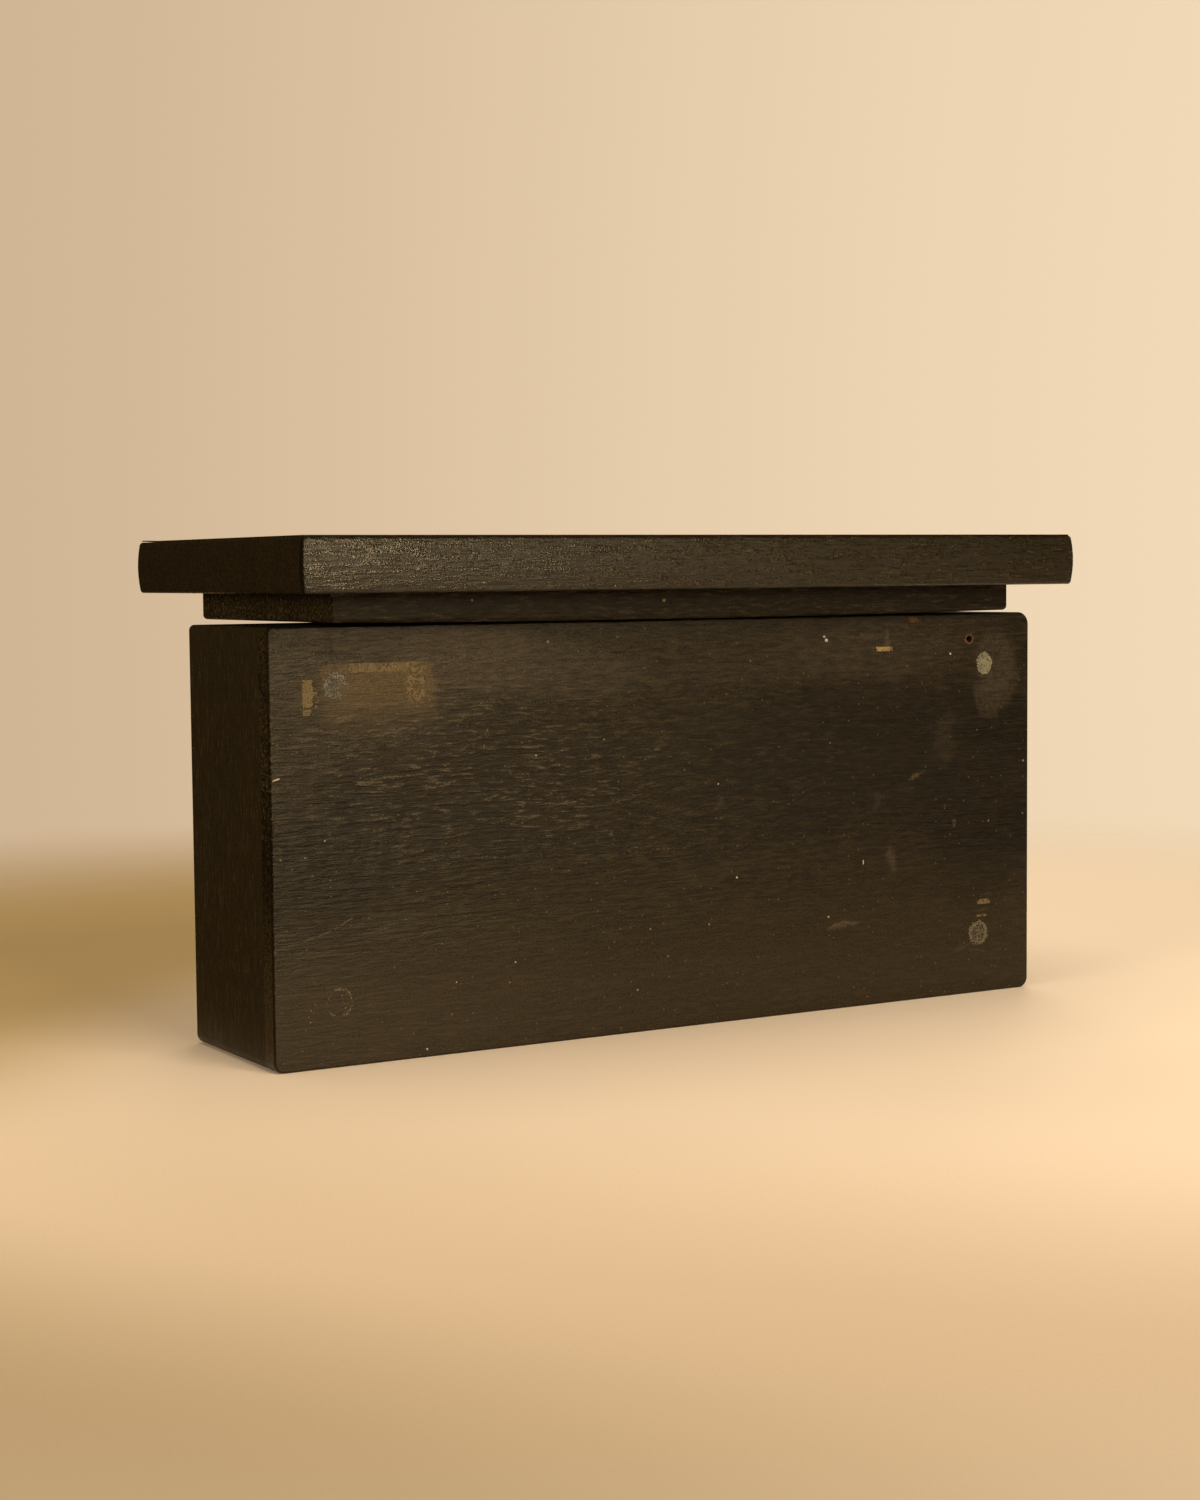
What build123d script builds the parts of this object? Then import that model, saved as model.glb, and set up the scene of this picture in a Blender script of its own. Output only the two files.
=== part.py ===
from build123d import *
import os

# A wooden box stood on one of its long narrow sides, with its stepped lid taken off and laid
# across the side above. Lengths are in millimetres. X runs along the large faces, +Y towards
# the open face and +Z up. The origin is the centre of the face that the box stands on.

# Box, as it stands: the underside in use is the large face at -Y, and the open face is at +Y
box_length = 326.3
box_height = 150.0
box_depth = 70.5
side_thickness = 17.5
panel_thickness = 8.0

# The box's four outer corners are worn unevenly, named as seen from the underside
round_upper_left = 2.0
round_upper_right = 4.8
round_lower_left = 3.5
round_lower_right = 4.0
panel_edge_round = 0.9
rim_outer_round = 1.0
rim_inner_round = 0.8

# Pins that hold the bottom panel to the sides
pin_edge_distance = 10.1
pin_end_distance = 30.1
pin_length = 24.0
pin_shank_diameter = 1.6
pin_head_diameter = 2.5
pin_head_height = 1.0
pin_clearance = 0.05
pin_point_length = 2.0

# What is left of three stick-on feet, whose centres lie in from the underside's ends and sides
pad_thickness = 0.3
pad_from_end = 23.0
pad_from_side = 20.0
pad_lower_inset = 3.0
pad_upper_left_diameter = 9.0
pad_bite_diameter = 4.4
pad_bite_angle = -20.0
pad_upper_right_width = 8.0
pad_upper_right_height = 8.8
pad_lower_right_diameter = 10.0

# Lid: a board, a plug under it that fits the open face, and a thin facing over it
lid_board_thickness = 18.75
lid_edge_crown = 0.8
lid_corner_round = 1.1
lid_upper_round = 1.3
lid_lower_round = 1.2
facing_thickness = 0.75
facing_inset = 1.6
facing_corner_round = 0.8
plug_thickness = 9.9
plug_crown = 0.9
plug_play_along = 1.0
plug_play_across = 0.35
plug_corner_round = 0.9
plug_lower_round = 1.5

# Where the lid lies: its centre against the box's centre, and the air under it at mid-length
lid_shift_along = 1.8
lid_shift_back = 15.0
lid_rest_gap = 0.3

# Derived places and sizes
underside_y = -box_depth / 2
rim_y = box_depth / 2
panel_inner_y = underside_y + panel_thickness
opening_length = box_length - 2 * side_thickness
opening_height = box_height - 2 * side_thickness
lid_length = box_length
lid_width = box_height
plug_length = opening_length - 2 * plug_play_along
plug_width = opening_height - 2 * plug_play_across
plug_lowest_z = box_height + lid_rest_gap
plug_ends_z = plug_lowest_z + plug_crown
lid_underside_z = plug_ends_z + plug_thickness
facing_z = lid_underside_z + lid_board_thickness
lid_centre = (lid_shift_along, lid_shift_back)

# Pin places on the underside, three in each long side, of which one pin is lost
pin_end_x = box_length / 2 - pin_end_distance
pin_top_z = box_height - pin_edge_distance
pin_places = [(x, pin_edge_distance) for x in (-pin_end_x, 0, pin_end_x)]
pin_places += [(x, pin_top_z) for x in (-pin_end_x, 0)]
lost_pin_place = (pin_end_x, pin_top_z)


def box_outline():
    """The box's large face in the XZ plane, standing on z = 0, with four unequal corners."""
    half = box_length / 2
    corners = [
        (-half, box_height, round_upper_left),
        (half, box_height, round_upper_right),
        (-half, 0, round_lower_left),
        (half, 0, round_lower_right),
    ]
    sketch = Plane.XZ * Pos(0, box_height / 2) * Rectangle(box_length, box_height)
    for x, z, radius in corners:
        corner = sketch.vertices().sort_by_distance((x, 0, z))[0]
        sketch = fillet(corner, radius)
    return sketch


def prism_along_y(sketch, from_y, to_y):
    """A sketch in the XZ plane, extruded from one depth to another."""
    return Pos(0, to_y, 0) * extrude(sketch, amount=to_y - from_y)


def pin_profile(extra):
    """Half outline of a pin, point first, in a plane where x is the radius and y the depth."""
    shank = pin_shank_diameter / 2 + extra
    head = pin_head_diameter / 2 + extra
    head_depth = pin_head_height + extra
    points = [
        (0, 0),
        (head, 0),
        (head, -head_depth),
        (shank, -head_depth),
        (shank, pin_point_length - pin_length),
        (0, -pin_length - extra),
    ]
    return make_face(Polyline(*points, close=True))


def pin_body(place, extra=0.0):
    """A round-headed panel pin, its head flush with the underside, pointing into the box."""
    x, z = place
    upright = revolve(pin_profile(extra), Axis.Y)
    return Pos(x, underside_y, z) * Rot(180, 0, 0) * upright


def pin_holes():
    """The hole of every pin, the lost one too."""
    return [pin_body(place, pin_clearance) for place in pin_places + [lost_pin_place]]


def make_bottom_panel():
    """The board that is the box's underside in use, planted on the four sides."""
    panel = prism_along_y(box_outline(), underside_y, panel_inner_y)
    outer_edges = panel.faces().sort_by(Axis.Y)[0].edges()
    panel = fillet(outer_edges, panel_edge_round)
    return panel - pin_holes()


def make_carcase():
    """The four sides in one ring, rounded at the rim, before the mitres are cut."""
    opening = Plane.XZ * Pos(0, box_height / 2) * Rectangle(opening_length, opening_height)
    ring = prism_along_y(box_outline() - opening, panel_inner_y, rim_y)
    rim = ring.faces().sort_by(Axis.Y)[-1]
    ring = fillet(rim.outer_wire().edges(), rim_outer_round)
    rim = ring.faces().sort_by(Axis.Y)[-1]
    return fillet(rim.inner_wires()[0].edges(), rim_inner_round)


def mitre_wedge(start, end):
    """A prism over the side between two outer corners, bounded by the mitres at its ends."""
    outside = side_thickness / 2
    inside = -1.5 * side_thickness
    points = []
    for corner, reach in ((start, outside), (end, outside), (end, inside), (start, inside)):
        x, z = corner
        points.append((x + reach * (1 if x > 0 else -1), z + reach * (1 if z > 0 else -1)))
    wedge = Plane.XZ * make_face(Polyline(*points, close=True))
    return prism_along_y(wedge, underside_y, rim_y)


def make_sides():
    """The four mitred sides, by name."""
    half = box_length / 2
    upper_left, upper_right = (-half, box_height), (half, box_height)
    lower_left, lower_right = (-half, 0), (half, 0)
    ends = {
        "long_side_upper": (upper_left, upper_right),
        "long_side_lower": (lower_left, lower_right),
        "short_side_left": (lower_left, upper_left),
        "short_side_right": (lower_right, upper_right),
    }
    carcase = make_carcase() - pin_holes()
    return {name: carcase & mitre_wedge(*corners) for name, corners in ends.items()}


def make_pad(x, z, shape):
    """A thin flake of a stick-on foot on the underside."""
    flake = Plane.XZ * Pos(x, z) * shape
    return prism_along_y(flake, underside_y - pad_thickness, underside_y)


def make_pads():
    """The three flakes that still stand on the surface, each with its own shape."""
    x = box_length / 2 - pad_from_end
    upper_z = box_height - pad_from_side
    lower_z = pad_from_side + pad_lower_inset
    radius = pad_upper_left_diameter / 2
    bite = Rot(0, 0, pad_bite_angle) * Pos(radius, 0) * Circle(pad_bite_diameter / 2)
    oval = Ellipse(pad_upper_right_width / 2, pad_upper_right_height / 2)
    disc = Circle(pad_lower_right_diameter / 2)
    return {
        "pad_remains_upper_left": make_pad(-x, upper_z, Circle(radius) - bite),
        "pad_remains_upper_right": make_pad(x, upper_z, oval),
        "pad_remains_lower_right": make_pad(x - pad_lower_inset, lower_z, disc),
    }


def crowned_slab_view(length):
    """Side view of the lid board: level above and below, swelling a little at both ends."""
    half = length / 2
    flat = half - lid_edge_crown
    middle_z = (lid_underside_z + facing_z) / 2
    left = ThreePointArc((-flat, lid_underside_z), (-half, middle_z), (-flat, facing_z))
    upper = Line((-flat, facing_z), (flat, facing_z))
    right = ThreePointArc((flat, facing_z), (half, middle_z), (flat, lid_underside_z))
    lower = Line((flat, lid_underside_z), (-flat, lid_underside_z))
    return make_face([left, upper, right, lower])


def make_lid_board():
    """The lid's main board, planed with slightly crowned edges and eased all round."""
    along = extrude(Plane.XZ * crowned_slab_view(lid_length), amount=lid_width, both=True)
    across = extrude(Plane.YZ * crowned_slab_view(lid_width), amount=lid_length, both=True)
    board = along & across
    uprights = board.edges() - board.faces().filter_by(Axis.Z).edges()
    board = fillet(uprights, lid_corner_round)
    board = fillet(board.faces().sort_by(Axis.Z)[-1].edges(), lid_upper_round)
    board = fillet(board.faces().sort_by(Axis.Z)[0].edges(), lid_lower_round)
    return Pos(*lid_centre) * board


def make_lid_facing():
    """The thin sheet on the lid, cut to the flat of the board."""
    length = lid_length - 2 * facing_inset
    width = lid_width - 2 * facing_inset
    sheet = Pos(*lid_centre) * RectangleRounded(length, width, facing_corner_round)
    return Pos(0, 0, facing_z) * extrude(sheet, amount=facing_thickness)


def make_lid_plug():
    """The board under the lid that fits the open face, its lower face slightly crowned."""
    x, y = lid_centre
    half = plug_length / 2
    crown = ThreePointArc((x - half, plug_ends_z), (x, plug_lowest_z), (x + half, plug_ends_z))
    upper = Polyline(
        (x + half, plug_ends_z),
        (x + half, lid_underside_z),
        (x - half, lid_underside_z),
        (x - half, plug_ends_z),
    )
    side_view = Plane.XZ * make_face([crown, upper])
    plug = prism_along_y(side_view, y - plug_width / 2, y + plug_width / 2)
    plug = fillet(plug.edges().filter_by(Axis.Z), plug_corner_round)
    return fillet(plug.faces().sort_by(Axis.Z)[0].edges(), plug_lower_round)


def make_nodes():
    """Every piece of the box and its lid, by name."""
    nodes = {"bottom_panel": make_bottom_panel()}
    nodes.update(make_sides())
    nodes["panel_pins"] = Compound(children=[pin_body(place) for place in pin_places])
    nodes.update(make_pads())
    nodes["lid_board"] = make_lid_board()
    nodes["lid_plug"] = make_lid_plug()
    nodes["lid_facing"] = make_lid_facing()
    return nodes


os.makedirs("parts", exist_ok=True)
for name, shape in make_nodes().items():
    export_step(shape, f"parts/{name}.step")
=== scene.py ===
import math
import random

import bmesh
import bpy
from mathutils import Matrix, Vector, noise


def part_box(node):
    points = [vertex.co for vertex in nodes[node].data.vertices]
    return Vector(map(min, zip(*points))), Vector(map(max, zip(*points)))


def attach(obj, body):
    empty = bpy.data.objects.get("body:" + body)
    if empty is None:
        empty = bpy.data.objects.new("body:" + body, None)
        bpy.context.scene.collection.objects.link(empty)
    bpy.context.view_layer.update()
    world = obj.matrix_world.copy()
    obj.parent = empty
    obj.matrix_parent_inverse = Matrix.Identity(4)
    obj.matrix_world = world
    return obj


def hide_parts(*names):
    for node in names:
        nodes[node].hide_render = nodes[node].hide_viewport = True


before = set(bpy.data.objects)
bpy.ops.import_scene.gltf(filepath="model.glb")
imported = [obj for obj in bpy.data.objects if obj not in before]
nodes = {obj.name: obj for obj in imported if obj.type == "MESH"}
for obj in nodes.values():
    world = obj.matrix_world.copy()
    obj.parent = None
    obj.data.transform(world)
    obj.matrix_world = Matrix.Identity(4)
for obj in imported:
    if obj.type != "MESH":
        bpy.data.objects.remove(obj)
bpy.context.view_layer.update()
MM = 0.001

# The underside in use is the large face towards the camera. Marks on it are placed from its
# lower left corner, in millimetres along it and up it.
panel_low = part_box("bottom_panel")[0]
plug_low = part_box("lid_plug")[0]
lid_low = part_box("lid_board")[0]
facing_low, facing_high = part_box("lid_facing")


def on_panel(along, up):
    """A point on the underside, from millimetres along and up."""
    return Vector((panel_low.x + along * MM, panel_low.y, panel_low.z + up * MM))


# Camera, as solved from the box's edges: the picture is 1200 by 1500
PICTURE_HEIGHT = 1500
FOCAL_PIXELS = 2527.3
CAMERA_PLACE = (-0.49655, -0.81185, 0.16746)
CAMERA_PITCH = -0.0704
CAMERA_ROLL = 0.0091
CAMERA_YAW = -0.5359
SENSOR_MM = 36.0


def set_camera():
    """The camera stands where the photograph was taken."""
    data = bpy.data.cameras.new("camera")
    data.sensor_width = SENSOR_MM
    data.lens = FOCAL_PIXELS / PICTURE_HEIGHT * SENSOR_MM
    data.clip_start = 0.01
    data.clip_end = 50.0
    camera = bpy.data.objects.new("camera", data)
    bpy.context.scene.collection.objects.link(camera)
    yaw = Matrix.Rotation(CAMERA_YAW, 3, "Z")
    pitch = Matrix.Rotation(CAMERA_PITCH, 3, "X")
    roll = Matrix.Rotation(CAMERA_ROLL, 3, "Y")
    turn = yaw @ pitch @ roll
    right, forward, up = turn.col[0], turn.col[1], turn.col[2]
    axes = Matrix((right, up, -forward)).transposed()
    camera.matrix_world = Matrix.Translation(CAMERA_PLACE) @ axes.to_4x4()
    bpy.context.scene.camera = camera


# Directions and colours that the node helpers share
X_AXIS = (1.0, 0.0, 0.0)
Y_AXIS = (0.0, 1.0, 0.0)
Z_AXIS = (0.0, 0.0, 1.0)
WHITE = (1.0, 1.0, 1.0)


class Nodes:
    """A node tree under construction, with short calls for its nodes."""

    def __init__(self, tree):
        self.tree = tree

    def add(self, kind, **settings):
        """A node with its properties set."""
        node = self.tree.nodes.new(kind)
        for key, value in settings.items():
            setattr(node, key, value)
        return node

    def feed(self, socket, value):
        """A link where value is a socket, and otherwise the socket's own value."""
        if isinstance(value, bpy.types.NodeSocket):
            self.tree.links.new(value, socket)
        elif isinstance(value, tuple) and len(value) == 3 and socket.type == "RGBA":
            socket.default_value = (*value, 1.0)
        else:
            socket.default_value = value

    def math(self, operation, a, b=0.0):
        """The result of one Math node."""
        node = self.add("ShaderNodeMath", operation=operation)
        self.feed(node.inputs[0], a)
        self.feed(node.inputs[1], b)
        return node.outputs[0]

    def added(self, values):
        """Several values added up."""
        result = values[0]
        for value in values[1:]:
            result = self.math("ADD", result, value)
        return result

    def total(self, *values):
        """Several values added up and held at one."""
        return self.math("MINIMUM", self.added(values), 1.0)

    def product(self, *values):
        """Several values multiplied."""
        result = values[0]
        for value in values[1:]:
            result = self.math("MULTIPLY", result, value)
        return result

    def vector(self, operation, a, b=(0.0, 0.0, 0.0)):
        """The result of one Vector Math node."""
        node = self.add("ShaderNodeVectorMath", operation=operation)
        self.feed(node.inputs[0], a)
        self.feed(node.inputs[1], b)
        scalar = operation in ("LENGTH", "DOT_PRODUCT")
        return node.outputs["Value" if scalar else "Vector"]

    def reach(self, vector, direction):
        """How far a vector reaches along a direction."""
        return self.vector("DOT_PRODUCT", vector, direction)

    def noise(self, vector, scale, detail=3.0, rough=0.55, colour=False):
        """A noise texture's value, or its colour, with one scale or one for each axis."""
        if isinstance(scale, tuple):
            vector, scale = self.vector("MULTIPLY", vector, scale), 1.0
        node = self.add("ShaderNodeTexNoise", noise_dimensions="3D")
        self.feed(node.inputs["Vector"], vector)
        node.inputs["Scale"].default_value = scale
        node.inputs["Detail"].default_value = detail
        node.inputs["Roughness"].default_value = rough
        return node.outputs["Color" if colour else "Fac"]

    def ramp(self, value, low, high, out_low=0.0, out_high=1.0):
        """A value mapped smoothly from one range to another and held inside it."""
        node = self.add("ShaderNodeMapRange", interpolation_type="SMOOTHSTEP")
        for socket, v in zip(node.inputs, (value, low, high, out_low, out_high)):
            self.feed(socket, v)
        return node.outputs["Result"]

    def mix(self, amount, a, b):
        """Two colours mixed."""
        node = self.add("ShaderNodeMix", data_type="RGBA")
        self.feed(node.inputs[0], amount)
        self.feed(node.inputs[6], a)
        self.feed(node.inputs[7], b)
        return node.outputs[2]


class Finish(Nodes):
    """A material under construction, on the piece's own coordinates. Its colour is what has
    been laid so far."""

    def __init__(self, name):
        self.material = bpy.data.materials.new(name)
        self.material.use_nodes = True
        super().__init__(self.material.node_tree)
        self.shader = self.tree.nodes["Principled BSDF"]
        self.place = self.add("ShaderNodeTexCoord").outputs["Object"]

    def lay(self, amount, colour):
        """Lays a colour over the finish."""
        self.colour = self.mix(amount, self.colour, colour)

    def darken(self, amount, share):
        """Keeps only a share of the finish's colour, where the amount is one."""
        self.colour = self.vector("MULTIPLY", self.colour, self.mix(amount, WHITE, share))

    def bump(self, height, strength, distance, under=None):
        """A bump from a height, over another bump where one is given."""
        node = self.add("ShaderNodeBump")
        node.inputs["Strength"].default_value = strength
        node.inputs["Distance"].default_value = distance
        self.feed(node.inputs["Height"], height)
        if under is not None:
            self.feed(node.inputs["Normal"], under)
        return node.outputs["Normal"]

    def set(self, **sockets):
        """Shader inputs by name, with underscores for spaces."""
        for key, value in sockets.items():
            self.feed(self.shader.inputs[key.replace("_", " ")], value)

    def dots(self, scale, radius, share):
        """Fine round dots, scattered: their cells per metre, their radius in cells and the share
        of the cells that have one."""
        cells = self.add("ShaderNodeTexVoronoi")
        self.feed(cells.inputs["Vector"], self.place)
        cells.inputs["Scale"].default_value = scale
        chosen = self.ramp(self.reach(cells.outputs["Color"], X_AXIS), share, share - 0.05)
        return self.product(self.ramp(cells.outputs["Distance"], radius, 0.5 * radius), chosen)

    def oval(self, where, along, up, half_width, half_height, edge, tilt=0.0):
        """A soft oval on the underside, in millimetres from its lower left corner. The edge is
        the softness as a share of its size, and the tilt is in degrees."""
        node = self.add("ShaderNodeMapping", vector_type="TEXTURE")
        self.feed(node.inputs["Vector"], where)
        centre = on_panel(along, up)
        node.inputs["Location"].default_value = (centre.x, 0.0, centre.z)
        node.inputs["Rotation"].default_value = (0.0, -math.radians(tilt), 0.0)
        node.inputs["Scale"].default_value = (half_width * MM, 1.0, half_height * MM)
        flat = self.vector("MULTIPLY", node.outputs[0], (1.0, 0.0, 1.0))
        return self.ramp(self.vector("LENGTH", flat), 1.0 + edge, 1.0 - edge)

    def ovals(self, where, rows):
        """Soft ovals added up. Each row is along, up, half the width, half the height, the
        amount, the edge and, where there is one, the tilt."""
        amounts = []
        for along, up, half_width, half_height, amount, edge, *tilt in rows:
            one = self.oval(where, along, up, half_width, half_height, edge, *tilt)
            amounts.append(self.math("MULTIPLY", one, amount))
        return self.added(amounts)


# Colours of the stained wood, and of what lies on it
WOOD_DARK = (0.0032, 0.0022, 0.0008)
WOOD_LIGHT = (0.0232, 0.0164, 0.0066)
# Lightened raised strokes: partly worn stain, partly painted glints
WORN_TOP_AND_GLINT = (0.128, 0.108, 0.070)
# Painted shade for the lid's left end
LID_END_SHADE = (0.0085, 0.0056, 0.0020)
# Painted shade for the underside's rounded edges
ARRIS_SHADE = (0.0045, 0.0031, 0.0011)
BLOOM = (0.0465, 0.0352, 0.0222)
TAPE_STAIN = (0.098, 0.067, 0.026)
RUST = (0.086, 0.040, 0.004)
SMEAR = (0.105, 0.078, 0.045)
DENT = (0.012, 0.006, 0.003)
DUST = (0.0272, 0.0190, 0.0076)
DUST_DOT = (0.076, 0.059, 0.035)

# Shares of the colour that dark and brown places keep
DARK_SHARE = (0.42, 0.38, 0.28)
BROWN_SHARE = (0.97, 0.90, 0.58)

# The grain's patterns, in cycles per metre along it and across it
CLOUDS = (14, 22)
SWAY = (11, 24)
BANDS = (5, 75)
RIDGES = (50, 520)
FIBRES = (65, 950)
STROKES = (170, 880)
GRIT = 1700.0

# How far the grain sways, and how deep its parts are cut
SWAY_REACH = 0.0032
RIDGE_DEPTH = 0.00045
FIBRE_DEPTH = 0.0004
GRIT_DEPTH = 0.00022


def grain_scale(axis, along, across):
    """Pattern density, lower along the grain than across it, in cycles per metre."""
    return tuple(along if letter == axis else across for letter in "XYZ")


def ebonised_wood(
    name, axis, relief=0.5, gloss=0.42, worn=0.5, shift=0.0, contrast=1.0, filled=None
):
    """Black-brown stained wood with a brushed grain along one axis. Relief is the strength of
    its bumps, gloss its roughness, worn how far raised strokes are lightened, partly as wear of
    their stain and partly as painted glints, and contrast how far its tones lie apart. A shift
    gives each board its own grain, and filled(finish) says where dust fills it. Returns the open
    finish, so that marks can be laid over it."""
    finish = Finish(name)
    depth = finish.math("SUBTRACT", 1.0, filled(finish)) if filled else 1.0
    moved = finish.vector("ADD", finish.place, (shift, shift * 0.7, shift * 1.3))
    sway = finish.noise(moved, grain_scale(axis, *SWAY), detail=1.0, colour=True)
    sway = finish.vector("SUBTRACT", sway, (0.5, 0.5, 0.5))
    sway = finish.vector("MULTIPLY", sway, (SWAY_REACH, SWAY_REACH, SWAY_REACH))
    bent = finish.vector("ADD", moved, sway)

    def pattern(density, detail, rough=0.55):
        return finish.noise(bent, grain_scale(axis, *density), detail, rough)

    fibres = pattern(FIBRES, 2.0, 0.6)
    strokes = pattern(STROKES, 2.0, 0.65)
    ridges = pattern(RIDGES, 2.0)
    bands = pattern(BANDS, 3.0)
    grit = finish.noise(moved, GRIT, detail=2.0, rough=0.6)
    tone = finish.total(
        finish.product(finish.ramp(strokes, 0.38, 0.62), 0.30),
        finish.product(finish.ramp(fibres, 0.38, 0.62), 0.20),
        finish.product(finish.ramp(grit, 0.36, 0.64), 0.42),
        finish.product(finish.ramp(bands, 0.3, 0.7), 0.08),
    )
    tone = finish.math("ADD", finish.math("MULTIPLY", tone, contrast), 0.5 - 0.5 * contrast)
    finish.grit, finish.tone = grit, tone
    finish.lines = finish.math("ADD", fibres, strokes)
    finish.cloud = finish.noise(moved, grain_scale(axis, *CLOUDS))
    finish.colour = finish.mix(tone, WOOD_DARK, WOOD_LIGHT)
    # Where raised strokes are lightened: partly wear, partly painted glints on the ridges
    finish.tips = finish.product(
        finish.ramp(strokes, 0.54, 0.61),
        finish.ramp(fibres, 0.43, 0.56),
        finish.ramp(grit, 0.42, 0.56, 0.1, 1.0),
    )
    finish.worn = worn
    uneven = finish.math("ADD", bands, grit)
    finish.rough = finish.ramp(uneven, 0.7, 1.3, gloss - 0.05, gloss + 0.10)

    def cut(height, strength, cut_depth, under=None):
        return finish.bump(finish.math("MULTIPLY", height, depth), strength, cut_depth, under)

    coarse = cut(ridges, relief, RIDGE_DEPTH)
    middle = cut(fibres, relief, FIBRE_DEPTH, coarse)
    fine = cut(strokes, relief, FIBRE_DEPTH, middle)
    finish.normal = cut(grit, 1.1 * relief, GRIT_DEPTH, fine)
    return finish


def close_wood(finish, specular=0.16):
    """Puts the wood's colour, roughness and relief on its shader."""
    # Lightened tips: partly worn stain, partly painted glints
    finish.lay(finish.math("MULTIPLY", finish.tips, finish.worn), WORN_TOP_AND_GLINT)
    finish.set(Base_Color=finish.colour, Roughness=finish.rough, Normal=finish.normal)
    finish.set(Specular_IOR_Level=specular)
    return finish.material


def paint(piece, material):
    """Gives a piece one material."""
    piece.data.materials.clear()
    piece.data.materials.append(material)


# Soft places on the underside, each along, up, half the width, half the height, the amount, the
# softness of the edge and, where there is one, the tilt
DARK_PLACES = (
    (18, 68, 26, 28, 0.85, 0.6),
    (230, 80, 130, 50, 0.35, 0.6),
    (60, 76, 40, 22, 0.45, 0.6),
    (305, 78, 26, 42, 0.85, 0.6),
    (245, 98, 70, 24, 0.7, 0.7),
    (70, 98, 60, 20, 0.30, 0.7),
)
BLOOM_PLACES = (
    (40, 136, 62, 15, 0.55, 0.35),
    (96, 135, 50, 11, 0.55, 0.25, -6),
    (44, 119, 24, 6, 0.35, 0.6),
    (8, 112, 16, 24, 0.22, 0.5),
    (40, 112, 26, 9, 0.25, 0.6),
    (190, 131, 46, 6, 0.20, 0.6),
    (252, 138, 42, 11, 0.46, 0.4),
    (296, 146, 30, 5, 0.30, 0.6),
    (235.0, 32.2, 6.8, 1.6, 0.5, 0.4, 9),
    (284, 101, 4.5, 10, 0.30, 0.4, -13),
    (285, 108, 11, 6, 0.12, 0.5),
    (45, 47, 12, 4, 0.22, 0.5, 5),
    (40, 18, 75, 26, 0.30, 0.6),
    (190, 8, 150, 10, 0.16, 0.7),
    (319, 40, 5, 9, 0.16, 0.5),
    (257.5, 56, 3.2, 4.8, 0.6, 0.35, 15),
    (251.5, 78.5, 1.6, 4.2, 0.45, 0.5, -10),
    (177.7, 82.5, 1.0, 3.0, 0.55, 0.5, -35),
)
WIPED_BLOOM_PLACES = (
    (309, 131, 10, 12, 0.9, 0.25),
    (306, 118, 6.5, 10, 0.85, 0.2, 16),
    (314, 124, 4, 12, 0.6, 0.25),
)
STREAKED_BLOOM_PLACES = ((32, 72, 24, 20, 0.3, 0.6),)
RUST_PLACES = (
    (266.8, 148, 2.0, 1.0, 0.8, 0.4),
    (243.5, 139.0, 1.2, 2.5, 0.1, 0.5),
)
SMEAR_PLACES = (
    (270.5, 87.6, 4.0, 1.0, 0.52, 0.5, 14),
    (235.0, 32.2, 6.8, 1.1, 0.85, 0.4, 9),
    (290.5, 68.2, 0.8, 1.6, 0.6, 0.5, -20),
    (152.0, 103.3, 1.8, 0.7, 0.5, 0.5),
    (88.3, 55.5, 0.7, 0.7, 0.4, 0.5),
    (131.3, 75.0, 0.7, 0.9, 0.45, 0.5),
    (246.0, 141.8, 10.0, 0.6, 0.3, 0.8),
    (256.2, 140.4, 1.1, 3.2, 0.42, 0.7),
    (257.3, 56.5, 1.5, 4.0, 0.14, 0.6, 15),
    (303.0, 33.2, 2.6, 0.7, 0.30, 0.5),
    (303.2, 38.3, 3.4, 0.6, 0.26, 0.5),
    (300.0, 16.6, 4.8, 0.5, 0.5, 0.5, -3),
    (293.8, 18.4, 5.4, 0.8, 0.5, 0.5, 22),
    (305.8, 24.0, 1.0, 2.4, 0.24, 0.5),
)
DENT_PLACES = (
    (23.7, 141.8, 0.9, 6.0, 0.8, 0.5, 13),
    (21.8, 147.6, 0.8, 1.2, 0.5, 0.5),
)


def dust_on_panel(finish):
    """Dust fills the grain low on the panel."""
    up = finish.reach(finish.place, Z_AXIS)
    return finish.ramp(up, on_panel(0, 66).z, on_panel(0, 26).z, 0.0, 0.75)


def lay_bloom(finish, where, on_face):
    """The greyish bloom, wiped thin at the right end and streaked upright low on the left."""
    wiped = finish.noise(where, (900.0, 1.0, 160.0))
    wiped = finish.ramp(wiped, 0.36, 0.6, 0.45, 1.1)
    upright = finish.noise(where, (700.0, 1.0, 45.0), detail=2.0)
    upright = finish.ramp(upright, 0.5, 0.66)
    bloom = finish.total(
        finish.ovals(where, BLOOM_PLACES),
        finish.product(finish.ovals(where, WIPED_BLOOM_PLACES), wiped),
        finish.product(finish.ovals(where, STREAKED_BLOOM_PLACES), upright),
    )
    uneven = finish.noise(where, (300.0, 220.0, 800.0), detail=4.0)
    uneven = finish.ramp(uneven, 0.33, 0.67, 0.62, 1.0)
    pores = finish.ramp(finish.tone, 0.3, 0.6, 0.5, 1.0)
    finish.lay(finish.product(bloom, uneven, pores, on_face), BLOOM)


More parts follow.
